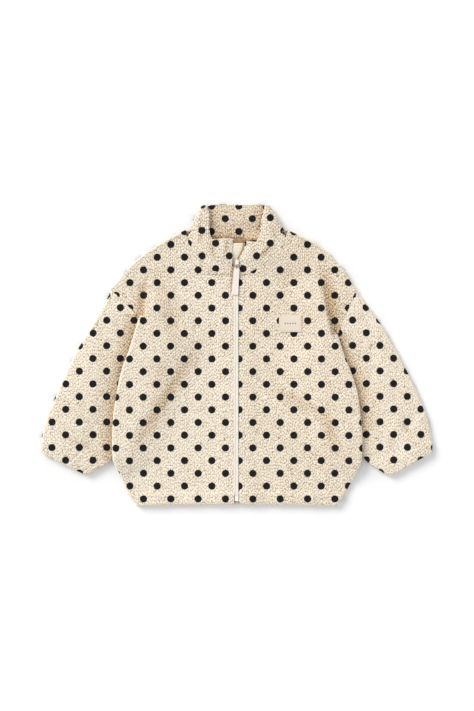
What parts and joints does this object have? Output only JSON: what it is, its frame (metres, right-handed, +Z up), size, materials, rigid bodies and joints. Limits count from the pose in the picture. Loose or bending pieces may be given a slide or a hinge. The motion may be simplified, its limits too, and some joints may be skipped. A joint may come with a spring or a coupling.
{
  "type": "child's fleece jacket, laid flat",
  "caption": "Dotted curly-fleece child's jacket laid flat on its back, stand collar, full front zip with a swinging pull tab, elastic hem and cuffs.",
  "frame": {"origin": "on the surface that the jacket lies on, at the middle of its outline", "axes": "+X to the right as seen from above, which is the wearer's left, +Y from the hem towards the collar, +Z up off the surface"},
  "size_m": [0.5306, 0.409, 0.0177],
  "materials": {
    "fleece": "curly cream pile with near-black round dots",
    "neck_tape": "tan twill tape",
    "zip_tape": "cream woven tape",
    "zip_chain": "off-white coil",
    "zip_box": "off-white enamel",
    "zip_metal": "off-white enamel",
    "zip_pull": "off-white enamel",
    "label": "cream woven satin"
  },
  "bodies": {
    "jacket": {"back": "fleece", "front_right": "fleece", "front_left": "fleece", "sleeve_right": "fleece", "sleeve_left": "fleece", "collar": "fleece", "neck_tape": "neck_tape", "zip_tape_right": "zip_tape", "zip_tape_left": "zip_tape", "zip_chain": "zip_chain", "zip_box": "zip_box", "zip_slider": "zip_metal", "label": "label"},
    "pull": {"zip_pull": "zip_pull"}
  },
  "joints": [
    {"name": "pull_swing", "type": "hinge", "parent": "jacket", "child": "pull", "pos_m": [0.00068, 0.123, 0.0118], "axis": [-0.9973, 0.0732, 0], "range_deg": [0, 150]}
  ]
}
